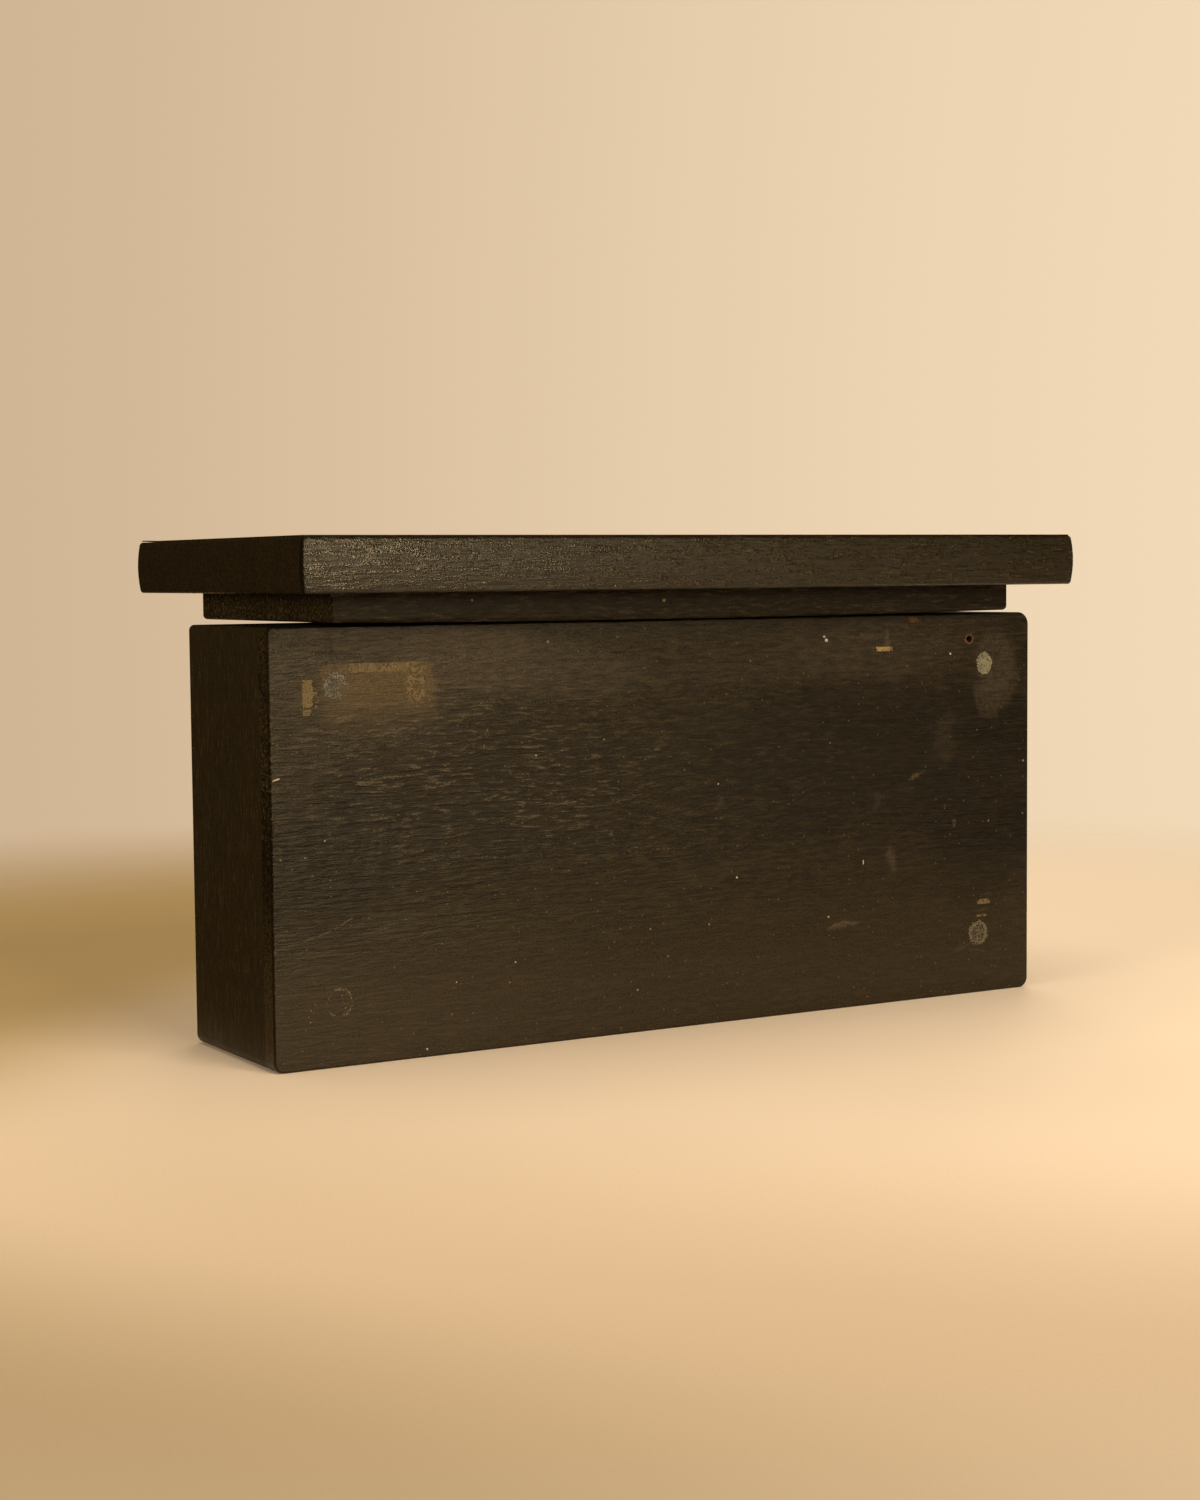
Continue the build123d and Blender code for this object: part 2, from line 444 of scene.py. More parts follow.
def lay_tape_stain(finish, where):
    """The field that a strip of tape has left brown, its upper edge the sharpest."""
    along, up = finish.reach(where, X_AXIS), finish.reach(where, Z_AXIS)
    field = finish.product(
        finish.ramp(along, on_panel(15, 0).x, on_panel(24, 0).x),
        finish.ramp(along, on_panel(63, 0).x, on_panel(59, 0).x),
        finish.ramp(up, on_panel(0, 112).z, on_panel(0, 129).z),
        finish.ramp(up, on_panel(0, 137.6).z, on_panel(0, 136.6).z),
    )
    grime = finish.noise(finish.place, 1400.0, detail=4.0, rough=0.7)
    grime = finish.ramp(grime, 0.3, 0.72, 0.45, 1.0)
    finish.lay(finish.product(field, grime, 0.7), TAPE_STAIN)


def lay_dust(finish):
    """Dust that thickens towards the lower edge, and fine dots of it everywhere."""
    up = finish.reach(finish.place, Z_AXIS)
    dusty = finish.ramp(up, on_panel(0, 62).z, on_panel(0, 18).z)
    powder = finish.ramp(finish.grit, 0.41, 0.59, 0.2, 1.0)
    finish.lay(finish.product(dusty, powder), DUST)
    finish.lay(finish.dots(430.0, 0.18, 0.25), DUST_DOT)


def underside_finish():
    """The bottom panel's finish: bloom, stains and rubbed places over the stained grain."""
    finish = ebonised_wood(
        "stained_panel", "X", relief=0.75, gloss=0.38, contrast=1.9, filled=dust_on_panel
    )
    stir = finish.noise(finish.place, (60.0, 60.0, 90.0), detail=4.0, rough=0.65, colour=True)
    stir = finish.vector("SUBTRACT", stir, (0.5, 0.5, 0.5))
    stir = finish.vector("MULTIPLY", stir, (0.016, 0.0, 0.010))
    where = finish.vector("ADD", finish.place, stir)
    depth = finish.reach(finish.place, Y_AXIS)
    on_face = finish.ramp(depth, panel_low.y + 0.8 * MM, panel_low.y + 0.1 * MM)

    finish.darken(finish.total(finish.ovals(where, DARK_PLACES)), DARK_SHARE)
    brown = finish.oval(finish.place, 163, 78, 250, 52, 0.35)
    finish.darken(finish.product(brown, on_face), BROWN_SHARE)
    lay_bloom(finish, where, on_face)
    lay_tape_stain(finish, where)
    finish.lay(finish.total(finish.ovals(where, RUST_PLACES)), RUST)
    rubbed = finish.ramp(finish.noise(finish.place, 1100.0), 0.35, 0.6, 0.3, 1.0)
    smears = finish.total(finish.ovals(where, SMEAR_PLACES))
    finish.lay(finish.product(smears, rubbed), SMEAR)
    finish.lay(finish.total(finish.ovals(where, DENT_PLACES)), DENT)

    # Painted glints: the lightened strokes are strongest on the left and in the middle, where
    # the sheen falls
    lively = finish.ramp(finish.cloud, 0.35, 0.6, 0.4, 1.0)
    finish.worn = finish.total(
        finish.product(finish.oval(finish.place, 70, 97, 70, 30, 0.6), lively, 0.55),
        finish.product(finish.oval(finish.place, 165, 94, 85, 34, 0.6), lively, 0.11),
        0.035,
    )
    lay_dust(finish)
    # Painted shade: the rounded edges all round the underside are darkened
    arris = finish.product(
        finish.ramp(depth, panel_low.y, panel_low.y + 0.3 * MM),
        finish.ramp(depth, panel_low.y + 1.6 * MM, panel_low.y + 0.8 * MM),
    )
    finish.lay(finish.product(arris, 0.8), ARRIS_SHADE)
    return close_wood(finish)


def lid_finish():
    """The lid's wood, whose gloss follows its fibres. Its left end is darkened as painted shade
    and isn't worn, and the arris beside it is darkened most, as painted shade."""
    finish = ebonised_wood("stained_lid", "X", relief=0.55, shift=0.67, contrast=1.4)
    finish.rough = finish.ramp(finish.lines, 0.84, 1.16, 0.45, 0.22)
    along = finish.reach(finish.place, X_AXIS)
    depth = finish.reach(finish.place, Y_AXIS)
    # Painted shade on the left end, which also loses its lightened tips
    end = finish.ramp(along, lid_low.x + 1.4 * MM, lid_low.x + 0.9 * MM)
    finish.worn = finish.math("SUBTRACT", 0.25, finish.math("MULTIPLY", end, 0.25))
    finish.lay(finish.product(end, 0.65), LID_END_SHADE)
    # Painted shade on the front left arris
    corner = finish.product(
        finish.ramp(along, lid_low.x + 2.6 * MM, lid_low.x + 1.6 * MM),
        finish.ramp(depth, lid_low.y + 2.6 * MM, lid_low.y + 1.6 * MM),
    )
    finish.lay(finish.product(corner, 0.85), WOOD_DARK)
    return close_wood(finish, specular=0.33)


def plug_finish():
    """The plug's wood, which is rougher than the lid's."""
    finish = ebonised_wood(
        "stained_plug", "X", relief=0.7, gloss=0.5, worn=0.25, shift=0.83, contrast=1.5
    )
    return close_wood(finish, specular=0.1)


def long_side_finish(name, shift):
    """The stained wood of a long side."""
    return close_wood(ebonised_wood(name, "X", shift=shift))


def short_side_finish(name, shift):
    """The stained wood of a short side, which is smoother and hardly worn."""
    return close_wood(ebonised_wood(
        name, "Z", relief=0.25, worn=0.08, shift=shift, contrast=0.4
    ))


panel_finish = underside_finish()
paint(nodes["bottom_panel"], panel_finish)
paint(nodes["panel_pins"], panel_finish)
paint(nodes["long_side_upper"], long_side_finish("stained_upper_side", 0.11))
paint(nodes["long_side_lower"], long_side_finish("stained_lower_side", 0.23))
paint(nodes["short_side_left"], short_side_finish("stained_left_side", 0.37))
paint(nodes["short_side_right"], short_side_finish("stained_right_side", 0.51))
paint(nodes["lid_board"], lid_finish())
paint(nodes["lid_plug"], plug_finish())


# Pieces on the wood, modelled as by hand


def take(piece):
    """Selects one object and nothing else."""
    bpy.ops.object.select_all(action="DESELECT")
    piece.select_set(True)
    bpy.context.view_layer.objects.active = piece


def settle(piece):
    """Brings the object to the origin, unturned, with its place in its mesh."""
    take(piece)
    bpy.ops.object.transform_apply(location=True, rotation=True, scale=True)


def film(name, low, high, cell, left, thickness, lumps=0.0, lump_size=1.0):
    """A thin crust on the underside between two corners, in millimetres. left(along, up) says
    whether a cell of it is still there. Lumps raise its outside by up to that much."""
    width, height = high[0] - low[0], high[1] - low[1]
    centre = on_panel(low[0] + width / 2, low[1] + height / 2)
    bpy.ops.object.select_all(action="DESELECT")
    bpy.ops.mesh.primitive_grid_add(
        x_subdivisions=max(1, round(width / cell)),
        y_subdivisions=max(1, round(height / cell)),
        size=1.0,
        location=centre,
        rotation=(math.pi / 2, 0.0, 0.0),
    )
    piece = bpy.context.active_object
    piece.name = name
    piece.scale = (width * MM, height * MM, 1.0)
    settle(piece)
    bpy.ops.object.mode_set(mode="EDIT")
    bpy.ops.mesh.select_mode(type="FACE")
    bpy.ops.mesh.select_all(action="DESELECT")
    mesh = bmesh.from_edit_mesh(piece.data)
    for face in mesh.faces:
        middle = face.calc_center_median()
        along, up = (middle.x - panel_low.x) / MM, (middle.z - panel_low.z) / MM
        face.select_set(not left(along, up))
    bmesh.update_edit_mesh(piece.data)
    bpy.ops.mesh.delete(type="FACE")
    bpy.ops.mesh.select_all(action="SELECT")
    bpy.ops.transform.vertex_random(offset=0.3 * cell * MM, uniform=1.0, normal=0.0, seed=4)
    bpy.ops.transform.resize(value=(1.0, 0.0, 1.0))
    bpy.ops.object.mode_set(mode="OBJECT")
    wall = piece.modifiers.new("wall", "SOLIDIFY")
    wall.thickness = thickness * MM
    wall.offset = 1.0
    bpy.ops.object.modifier_apply(modifier=wall.name)
    if lumps:
        texture = bpy.data.textures.new(name + "_lumps", "CLOUDS")
        texture.noise_scale = lump_size * MM
        texture.noise_depth = 2
        crust = piece.modifiers.new("crust", "DISPLACE")
        crust.texture = texture
        crust.texture_coords = "LOCAL"
        crust.direction = "Y"
        crust.strength = -lumps * MM
        crust.mid_level = 0.0
        bpy.ops.object.modifier_apply(modifier=crust.name)
    round_off = piece.modifiers.new("round", "SUBSURF")
    round_off.levels = round_off.render_levels = 1
    bpy.ops.object.modifier_apply(modifier=round_off.name)
    bpy.ops.object.shade_smooth()
    return piece


def patchy(along, up, size, seed):
    """A seeded noise value at a place on the underside, from about -1 to 1."""
    return noise.noise(Vector((along / size, seed * 7.3, up / size)))


CRUST_DEPTH = 0.00012


def crust_finish(name, dark, light, rough, scale):
    """Dry, grainy matter in two shades."""
    finish = Finish(name)
    grain = finish.noise(finish.place, scale, detail=4.0, rough=0.7)
    large = finish.noise(finish.place, scale / 6.0, detail=2.0)
    amount = finish.math("ADD", finish.product(grain, 0.7), finish.product(large, 0.3))
    finish.colour = finish.mix(finish.ramp(amount, 0.38, 0.62), dark, light)
    finish.set(Base_Color=finish.colour, Roughness=rough)
    finish.set(Normal=finish.bump(grain, 0.6, CRUST_DEPTH))
    finish.set(Specular_IOR_Level=0.25)
    return finish.material


blue_grey = crust_finish(
    "crumbled_foam_blue_grey", (0.050, 0.052, 0.044), (0.200, 0.200, 0.165), 0.85, 2600.0)
cream = crust_finish(
    "dry_foam_cream", (0.098, 0.096, 0.060), (0.235, 0.230, 0.153), 0.8, 1900.0)
grey = crust_finish(
    "thin_glue_grey", (0.06, 0.052, 0.034), (0.145, 0.125, 0.082), 0.8, 2200.0)
tape_gold = crust_finish(
    "tape_glue_gold", (0.075, 0.053, 0.022), (0.150, 0.108, 0.045), 0.6, 2000.0)
bright_gold = crust_finish(
    "paint_gold", (0.16, 0.105, 0.036), (0.33, 0.225, 0.08), 0.55, 1800.0)
faint_tan = crust_finish(
    "scratch_tan", (0.06, 0.044, 0.026), (0.13, 0.095, 0.058), 0.7, 2500.0)
tan = crust_finish(
    "specks_tan", (0.13, 0.085, 0.045), (0.24, 0.17, 0.10), 0.7, 2500.0)
white = crust_finish(
    "specks_white", (0.30, 0.24, 0.17), (0.5, 0.42, 0.32), 0.7, 2500.0)
rim_brown = crust_finish(
    "chipped_wood_brown", (0.035, 0.016, 0.006), (0.115, 0.052, 0.02), 0.7, 1500.0)
orange = crust_finish(
    "bare_wood_orange", (0.10, 0.042, 0.012), (0.17, 0.08, 0.03), 0.6, 1500.0)


def foot_crumbs_upper_left(along, up):
    """Crumbs of foam in a disc that has lost its lower right."""
    x, z = along - 24.3, up - 129.9
    far = math.hypot(x, z)
    gone = math.hypot(x - 2.9, z + 1.5) < 1.7 + 0.8 * patchy(along, up, 0.9, 1)
    edge = 4.7 + 1.1 * patchy(along, up, 0.8, 2)
    thick_ring = 0.15 if 2.6 < far < 4.0 else 0.0
    return far < edge and not gone and patchy(along, up, 0.5, 3) > 0.02 - thick_ring


def foot_crust_upper_right(along, up):
    """A nearly whole oval of foam."""
    far = math.hypot((along - 303.6) / 3.85, (up - 130.2) / 4.3)
    inside = far < 1.0 + 0.16 * patchy(along, up, 0.9, 4)
    return inside and patchy(along, up, 0.45, 9) > -0.36


def foot_film_lower_right(along, up):
    """A thin ring of glue, thinner in the middle."""
    far = math.hypot(along - 300.9, up - 23.8)
    if far > 4.7 + 1.1 * patchy(along, up, 0.7, 5):
        return False
    return patchy(along, up, 0.45, 6) > (-0.32 if far > 3.3 else -0.05)


def foot_ring_lower_left(along, up):
    """What is left of the fourth foot: a broken ring and a few crumbs inside it."""
    x, z = along - 24.1, up - 22.2
    far = math.hypot(x, z)
    angle = math.degrees(math.atan2(z, x))
    if abs(far - 4.7) < 0.42:
        heavy = 20 < angle < 110 or -75 < angle < -20 or -140 < angle < -110
        return patchy(along, up, 0.6, 7) > (-0.08 if heavy else 0.3)
    inside = 0.5 < x < 3.8 and -3.9 < z < 3.4
    return inside and far < 4.3 and patchy(along, up, 0.5, 8) > 0.38


def add_film(
    name, low, high, cell, left, thickness, material,
    lumps=0.0, lump_size=1.0, stands_for=None,
):
    """A crust with its finish, which moves with the box."""
    piece = film(name, low, high, cell, left, thickness, lumps, lump_size)
    paint(piece, material)
    if stands_for:
        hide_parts(stands_for)
    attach(piece, "box")


add_film(
    "foot_crumbs_upper_left", (19, 124.5), (29.5, 135.5), 0.16, foot_crumbs_upper_left, 0.10,
    blue_grey, 0.2, 0.5, stands_for="pad_remains_upper_left")
add_film(
    "foot_crust_upper_right", (299, 125), (308.5, 135.5), 0.17, foot_crust_upper_right, 0.08,
    cream, 0.22, 0.55, stands_for="pad_remains_upper_right")
add_film(
    "foot_film_lower_right", (295, 18), (307, 29.5), 0.18, foot_film_lower_right, 0.08,
    grey, 0.15, 0.6, stands_for="pad_remains_lower_right")
add_film(
    "foot_ring_lower_left", (18.5, 16.5), (29.5, 28), 0.16, foot_ring_lower_left, 0.06,
    grey)


def tape_left(along, up):
    """Glue left by a strip of tape: a bar at its end with a torn wing, its upper edge, and a
    netted patch at the far end."""
    fine = patchy(along, up, 0.5, 12)
    rows = patchy(0.3 * along, up, 0.45, 11)
    if 12.2 + 0.2 * rows < along < 15.9 + 0.5 * rows and 120.2 < up < 132.3:
        notch = 122.2 < up < 123.0 + 0.4 * fine or (along > 15.0 and up < 122.5)
        return fine + 0.7 * rows > -0.5 + (0.75 if notch else 0.0)
    if 15.9 < along < 19.6 and 122.6 + 0.25 * abs(along - 17.0) < up < 129.2:
        return fine + 0.8 * rows > 0.12 + 0.12 * (along - 15.9)
    if 28.0 < along < 51.4 and 134.1 + 0.5 * patchy(along, up, 1.5, 13) < up < 137.25:
        worn = 0.35 * max(0.0, 30.8 - along) + (0.12 if along > 39.0 else 0.0)
        return patchy(along, 0.3 * up, 0.4, 14) > -0.32 + worn
    if 50.6 < along < 61.6 and 121.8 < up < 137.3:
        net = abs(patchy(along, up, 1.3, 15))
        past = max(0.0, along - 57.0)
        edge = 0.08 * past + 0.05 * max(0.0, 126.0 - up) + 0.03 * abs(patchy(along, up, 3.0, 18))
        return net < 0.20 - edge or patchy(along, up, 0.7, 16) > 0.34 + 0.02 * past
    if 19.0 < along < 50.6 and 122.0 < up < 134.1:
        return fine > 0.36 + 0.02 * (134.1 - up)
    return False


# Each dash from its left to its right end and from its lower to its upper edge
GOLD_DASHES = (
    (250.8, 258.7, 136.2, 137.8),
    (300.4, 306.8, 35.2, 37.1),
    (299.9, 305.4, 30.0, 31.0),
)


def gold_left(along, up):
    """A short gold-brown dash near the upper edge and two by the lower right foot."""
    for low_x, high_x, low_z, high_z in GOLD_DASHES:
        if low_x < along < high_x and low_z < up < high_z:
            near_end = min(along - low_x, high_x - along)
            return patchy(along, up, 0.7, 17) > -0.35 + max(0.0, 0.5 - 0.4 * near_end)
    return False


add_film("tape_glue", (12, 119.5), (62.5, 138), 0.22, tape_left, 0.03, tape_gold)
add_film(
    "gold_dash_upper", (250, 135.5), (259.5, 138.5), 0.22, gold_left, 0.03,
    bright_gold)
add_film(
    "gold_dashes_lower", (299, 29), (307, 37.5), 0.22, gold_left, 0.03,
    tape_gold)


def scratch_left(along, up):
    """A thin pale scratch that curves upwards to the right, broken in places."""
    middle = 44.6 + 0.15 * (along - 12.0) + 0.0125 * (along - 12.0) ** 2
    whole = patchy(along, up, 1.6, 21) > -0.32 + 0.012 * (29.5 - along)
    return abs(up - middle) < 0.13 and whole


def chip_left(along, up):
    """The chipped rim of the hole that has lost its pin."""
    far = math.hypot(along - 296.2, (up - 139.9) * 1.05)
    return 1.35 < far < 2.15 + 0.5 * patchy(along, up, 1.0, 22)


def nick_left(along, up):
    """A bruise on the left edge that has gone through the stain."""
    x, z = along - 2.2, up - 99.2 - 0.25 * (along - 2.2)
    return math.hypot(x / 1.35, z / 0.32) < 1.0 + 0.3 * patchy(along, up, 0.4, 23)


add_film("scratch", (11.5, 44), (29.5, 51.5), 0.13, scratch_left, 0.015, faint_tan)
add_film(
    "chipped_hole_rim", (293, 137), (299.5, 143), 0.2, chip_left, 0.02,
    rim_brown)
add_film("edge_nick", (0.9, 98), (4.5, 100.5), 0.14, nick_left, 0.05, white)

# A droplet's half thickness in millimetres before it is flattened, the share of its radius that
# it keeps when dry, and the range of its turns in radians
SPECK_THICKNESS = 0.12
SPECK_DRIED = 0.8
SPECK_TURNS = 6.28


def make_speck():
    """One dried droplet of unit radius, flattened against the wood, to be copied."""
    bpy.ops.object.select_all(action="DESELECT")
    bpy.ops.mesh.primitive_ico_sphere_add(subdivisions=2, radius=1.0)
    speck = bpy.context.active_object
    bpy.ops.object.mode_set(mode="EDIT")
    bpy.ops.mesh.select_all(action="SELECT")
    bpy.ops.transform.vertex_random(offset=0.18, uniform=1.0, normal=0.0, seed=2)
    bpy.ops.transform.resize(value=(1.0, 0.35, 1.0))
    bpy.ops.object.mode_set(mode="OBJECT")
    bpy.ops.object.shade_smooth()
    return speck


speck_pattern = make_speck()
turns = random.Random(11)


def add_specks(name, material, body, places):
    """Droplets at points of the model, each with its radius in millimetres and its height as a
    share of its width."""
    copies = []
    for point, radius, tall in places:
        copy = speck_pattern.copy()
        copy.data = speck_pattern.data.copy()
        bpy.context.scene.collection.objects.link(copy)
        turn = Matrix.Rotation(turns.uniform(0.0, SPECK_TURNS), 4, "Y")
        across = SPECK_DRIED * radius * MM
        size = Matrix.Diagonal((across, SPECK_THICKNESS * MM, across * tall, 1.0))
        copy.data.transform(Matrix.Translation(point) @ size @ turn)
        copies.append(copy)
    take(copies[0])
    for copy in copies:
        copy.select_set(True)
    bpy.ops.object.join()
    piece = bpy.context.active_object
    piece.name = name
    paint(piece, material)
    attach(piece, body)


def add_panel_specks(name, material, *places):
    """Specks on the underside, each along, up, its radius and its height against its width."""
    places = [(on_panel(along, up), radius, tall) for along, up, radius, tall in places]
    add_specks(name, material, "box", places)


add_panel_specks(
    "specks_orange", orange,
    (80.8, 107.3, 0.45, 1.0), (66.8, 14.1, 0.45, 1.0), (246.5, 3.4, 0.4, 1.0),
    (300.2, 104.2, 0.4, 1.0), (265.7, 130.2, 0.55, 0.8))
add_panel_specks(
    "specks_tan", tan,
    (106.8, 143.0, 0.6, 0.9), (129.5, 107.5, 0.4, 1.0), (12.3, 72.4, 0.4, 1.0),
    (3.3, 72.2, 0.4, 1.0), (142.8, 15.6, 0.55, 1.0), (148.5, 37.5, 0.45, 1.0),
    (156.0, 26.8, 0.4, 1.0), (193.0, 134.0, 0.45, 1.0), (174.0, 37.2, 0.45, 1.0),
    (229.2, 102.0, 0.4, 1.0), (323.6, 91.0, 0.5, 1.3), (323.4, 70.0, 0.4, 1.0),
    (13.5, 20.4, 0.3, 1.2), (12.6, 18.3, 0.25, 1.0), (13.2, 16.5, 0.32, 1.0),
    (11.4, 14.0, 0.25, 1.0), (15.0, 22.6, 0.22, 1.0), (306.0, 68.0, 0.4, 1.3),
    (90.0, 23.2, 0.4, 1.0))
add_panel_specks(
    "specks_white", white,
    (101.5, 103.0, 0.35, 1.0), (19.6, 77.8, 0.35, 1.0), (57.0, 2.9, 0.45, 1.0),
    (92.3, 30.2, 0.35, 1.0), (68.8, 25.2, 0.3, 1.0), (226.6, 142.3, 0.7, 0.75),
    (227.6, 140.9, 0.95, 0.8), (286.9, 134.4, 0.5, 1.2), (178.4, 89.0, 0.4, 1.0),
    (186.4, 53.7, 0.5, 1.0), (228.2, 35.7, 0.5, 0.9), (244.7, 55.5, 0.30, 3.8))

# Specks on the lid's crowned front edge, in millimetres: along, up, how far back the edge lies
# there, and the radius
LID_SPECKS = (
    (61.5, 164.3, 0.40, 0.35),
    (92.1, 163.6, 0.50, 0.4),
    (133.5, 178.9, 0.55, 0.3),
    (99.2, 167.0, 0.15, 0.35),
)
add_specks("lid_specks", tan, "lid", [
    (Vector((x * MM, lid_low.y + back * MM, z * MM)), radius, 0.9)
    for x, z, back, radius in LID_SPECKS])
add_specks("plug_speck_brass", bright_gold, "lid", [
    (Vector((-12.1 * MM, plug_low.y, 157.1 * MM)), 0.95, 0.8),
    (Vector((-90.0 * MM, plug_low.y, 158.2 * MM)), 0.55, 0.9)])
bpy.data.objects.remove(speck_pattern)

# The facing sheet, in millimetres
SHEET_THICKNESS = 0.42
SHEET_EASING = 0.1
CORNER_LIFT = 0.32
CORNER_REACH = 14.0


def make_facing():
    """The thin sheet on the lid, whose rear left corner has come unstuck and curls up."""
    middle = (facing_low + facing_high) / 2
    bpy.ops.object.select_all(action="DESELECT")
    bpy.ops.mesh.primitive_grid_add(
        x_subdivisions=160, y_subdivisions=74, size=1.0,
        location=(middle.x, middle.y, facing_low.z))
    sheet = bpy.context.active_object
    sheet.name = "facing_sheet"
    sheet.scale = (facing_high.x - facing_low.x, facing_high.y - facing_low.y, 1.0)
    settle(sheet)
    bpy.ops.object.mode_set(mode="EDIT")
    bpy.ops.mesh.select_mode(type="VERT")
    bpy.ops.mesh.select_all(action="DESELECT")
    mesh = bmesh.from_edit_mesh(sheet.data)
    corner = Vector((facing_low.x, facing_high.y, facing_low.z))
    min(mesh.verts, key=lambda vert: (vert.co - corner).length).select_set(True)
    bmesh.update_edit_mesh(sheet.data)
    bpy.ops.transform.translate(
        value=(0.0, 0.0, CORNER_LIFT * MM), use_proportional_edit=True,
        proportional_edit_falloff="SMOOTH", proportional_size=CORNER_REACH * MM)
    bpy.ops.object.mode_set(mode="OBJECT")
    wall = sheet.modifiers.new("wall", "SOLIDIFY")
    wall.thickness = SHEET_THICKNESS * MM
    wall.offset = 1.0
    bpy.ops.object.modifier_apply(modifier=wall.name)
    ease = sheet.modifiers.new("ease", "BEVEL")
    ease.width = SHEET_EASING * MM
    ease.segments = 2
    ease.limit_method = "ANGLE"
    bpy.ops.object.modifier_apply(modifier=ease.name)
    bpy.ops.object.shade_smooth_by_angle(angle=math.radians(35))
    paint(sheet, close_wood(ebonised_wood(
        "stained_facing", "X", relief=0.2, worn=0.2, shift=0.97
    )))
    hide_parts("lid_facing")
    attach(sheet, "lid")


make_facing()


# Stage: a pale floor that fades into the backdrop, and soft lamps. Its lengths are in metres.
FLOOR_RADIUS = 1.6
FADE_START = 0.38
FADE_END = 0.85
DARK_SIDE = -0.165
LAMPS_AIM = (0.0, 0.0, 0.08)
FILL = 0.15
LAMP_COLOUR = (1.0, 0.805, 0.58)
WINDOW_COLOUR = (1.0, 0.775, 0.45)

# Colours of the floor and the backdrop, with painted light towards the right, and the shares
# of them that dimmer parts keep as painted shade
FLOOR_DARK = (0.85, 0.745, 0.62)
FLOOR_LIGHT = (0.88, 0.77, 0.645)
FLOOR_CLOUD = (0.83, 0.725, 0.60)
FLOOR_RIGHT_LIGHT = (0.94, 0.84, 0.71)
FLOOR_REAR_SHADOW = (0.46, 0.345, 0.165)
NEAR_SHADE_SHARE = (0.683, 0.652, 0.612)
LEFT_SHADE_SHARE = (0.876, 0.852, 0.79)
FAR_LEFT_SHADE_SHARE = (0.735, 0.725, 0.63)
UNSEEN_SIDE_SHADE = (0.58, 0.42, 0.21)
MIRRORED_SIDE = (0.02, 0.012, 0.004)
BACKDROP_LEFT = (0.62, 0.45, 0.29)
BACKDROP_RIGHT = (0.90, 0.71, 0.485)
MIRRORED_BACKDROP = (0.03, 0.02, 0.01)


def make_floor():
    """A pale floor whose far edge fades into the backdrop, paler to the right as painted light,
    and dimmer in front, to the left and behind as painted shade, with the box's shadow painted
    on it behind to the left. What the box's left end mirrors of it is nearly black, which keeps
    that end dark."""
    bpy.ops.object.select_all(action="DESELECT")
    bpy.ops.mesh.primitive_circle_add(vertices=96, radius=FLOOR_RADIUS, fill_type="NGON")
    floor = bpy.context.active_object
    floor.name = "floor"
    finish = Finish("floor")
    speck = finish.ramp(finish.noise(finish.place, 900.0, detail=2.0), 0.3, 0.7)
    shade = finish.ramp(finish.noise(finish.place, 3.0, detail=2.0), 0.3, 0.7, 0.0, 0.25)
    finish.colour = finish.mix(speck, FLOOR_DARK, FLOOR_LIGHT)
    finish.lay(shade, FLOOR_CLOUD)
    across = finish.reach(finish.place, X_AXIS)
    # Painted light: the floor is paler to the right
    finish.lay(finish.ramp(across, -0.05, 0.25), FLOOR_RIGHT_LIGHT)
    # Painted shade: darker in front
    near = finish.reach(finish.place, (-0.51, -0.86, 0.0))
    finish.darken(finish.ramp(near, 0.19, 0.5), NEAR_SHADE_SHARE)
    # Painted shade: darker to the left
    leftward = finish.reach(finish.place, (-0.9, -0.44, 0.0))
    finish.darken(finish.ramp(leftward, 0.10, 0.30), LEFT_SHADE_SHARE)
    finish.darken(finish.ramp(leftward, 0.33, 0.46), FAR_LEFT_SHADE_SHARE)
    # Painted shadow of the box, behind it on the left
    rearward = finish.reach(finish.place, (-0.6, 0.8, 0.0))
    finish.lay(finish.ramp(rearward, 0.08, 0.24), FLOOR_REAR_SHADOW)
    rays = finish.add("ShaderNodeLightPath").outputs
    # Painted shade for bounced light: beside the box on the left, rays other than the camera's
    # see a darker floor
    side = finish.ramp(across, DARK_SIDE, DARK_SIDE - 0.02)
    unseen = finish.math("SUBTRACT", 1.0, rays["Is Camera Ray"])
    finish.lay(finish.product(unseen, side), UNSEEN_SIDE_SHADE)
    finish.lay(finish.product(rays["Is Glossy Ray"], side), MIRRORED_SIDE)
    far = finish.ramp(finish.vector("LENGTH", finish.place), FADE_START, FADE_END)
    finish.set(Base_Color=finish.colour, Roughness=0.5, Alpha=finish.math("SUBTRACT", 1.0, far))
    paint(floor, finish.material)


def area_lamp(
    name, azimuth, elevation, distance, size, strength,
    mirrored=True, lights=True, colour=LAMP_COLOUR,
):
    """A soft lamp aimed at the box. Azimuth is in degrees from -Y towards +X, and strength is
    the brightness that a white surface facing it would have. A lamp that isn't mirrored gives
    no sheen, and one that doesn't light gives nothing else."""
    data = bpy.data.lights.new(name, "AREA")
    data.shape = "RECTANGLE"
    data.size, data.size_y = size
    data.energy = strength * (math.pi * distance) ** 2
    data.color = colour
    lamp = bpy.data.objects.new(name, data)
    bpy.context.scene.collection.objects.link(lamp)
    lamp.visible_glossy = mirrored
    lamp.visible_diffuse = lights
    turn, rise = math.radians(azimuth), math.radians(elevation)
    level = math.cos(rise)
    toward = Vector((math.sin(turn) * level, -math.cos(turn) * level, math.sin(rise)))
    lamp.location = Vector(LAMPS_AIM) + toward * distance
    lamp.rotation_euler = (-toward).to_track_quat("-Z", "Y").to_euler()


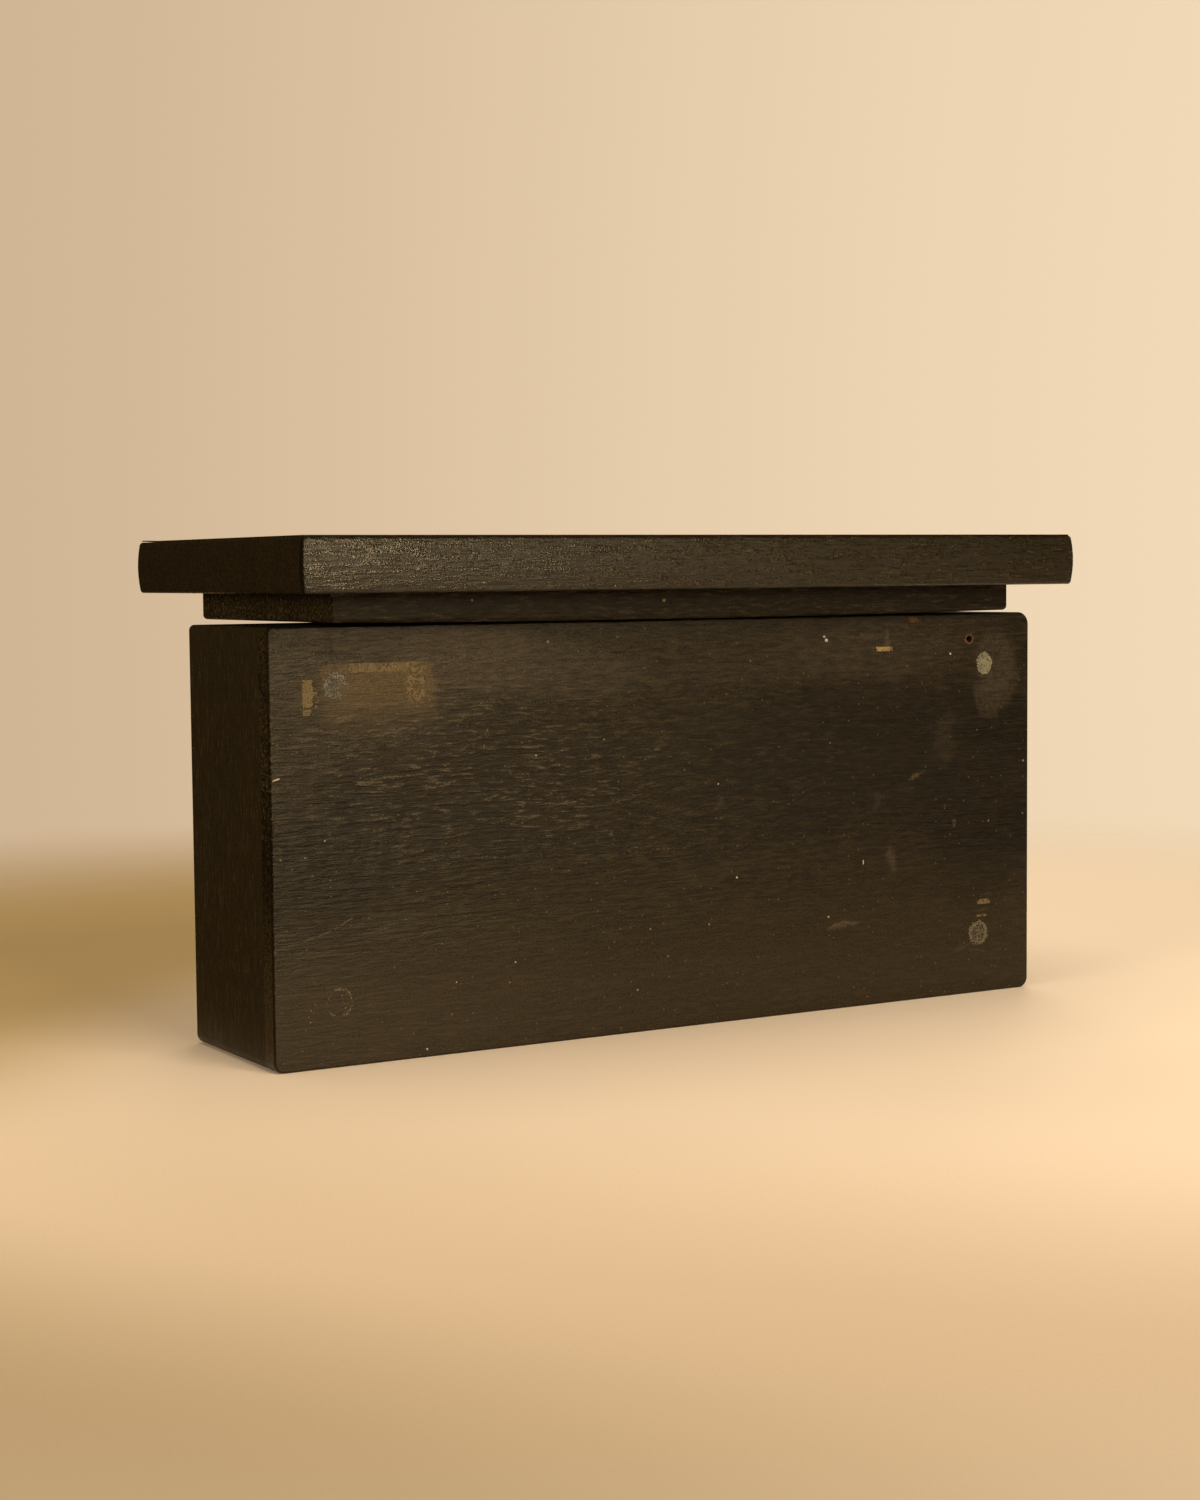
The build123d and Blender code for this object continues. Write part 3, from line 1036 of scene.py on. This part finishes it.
def make_world():
    """Warm studio surroundings: an even fill, and a backdrop, paler to the right as painted
    light, for what the camera sees and the finish mirrors."""
    world = bpy.data.worlds.new("studio")
    world.use_nodes = True
    bpy.context.scene.world = world
    world.node_tree.nodes.clear()
    studio = Nodes(world.node_tree)
    output = studio.add("ShaderNodeOutputWorld")
    toward = studio.add("ShaderNodeTexCoord").outputs["Generated"]
    rays = studio.add("ShaderNodeLightPath").outputs
    across = studio.ramp(studio.reach(toward, X_AXIS), 0.22, 0.78)
    backdrop = studio.mix(across, BACKDROP_LEFT, BACKDROP_RIGHT)
    behind = studio.ramp(studio.reach(toward, (0.76, 0.65, 0.0)), 0.7, 0.97, 0.0, 0.35)
    glossy = studio.product(rays["Is Glossy Ray"], studio.math("SUBTRACT", 1.0, behind))
    backdrop = studio.mix(glossy, backdrop, MIRRORED_BACKDROP)
    seen = studio.add("ShaderNodeBackground")
    studio.feed(seen.inputs["Color"], backdrop)
    fill = studio.add("ShaderNodeBackground")
    studio.feed(fill.inputs["Color"], LAMP_COLOUR)
    studio.feed(fill.inputs["Strength"], FILL)
    shown = studio.math("MAXIMUM", rays["Is Camera Ray"], rays["Is Glossy Ray"])
    shown = studio.math("MAXIMUM", shown, rays["Is Transmission Ray"])
    choose = studio.add("ShaderNodeMixShader")
    studio.feed(choose.inputs[0], shown)
    studio.feed(choose.inputs[1], fill.outputs[0])
    studio.feed(choose.inputs[2], seen.outputs[0])
    studio.feed(output.inputs["Surface"], choose.outputs[0])


make_floor()
make_world()
area_lamp("key", 8.0, 30.0, 1.9, (1.0, 0.8), 0.78, mirrored=False)
area_lamp("window", 5.0, 11.0, 2.0, (0.5, 0.4), 1.0, lights=False, colour=WINDOW_COLOUR)
area_lamp("left_light", -78.0, 9.0, 1.8, (1.2, 0.5), 0.98, mirrored=False)
area_lamp("back_light", 143.0, 40.0, 1.7, (0.9, 0.9), 0.25, mirrored=False)
area_lamp("ceiling", 0.0, 90.0, 1.6, (1.4, 1.4), 0.56, mirrored=False)
set_camera()
bpy.context.scene.view_settings.view_transform = "Standard"
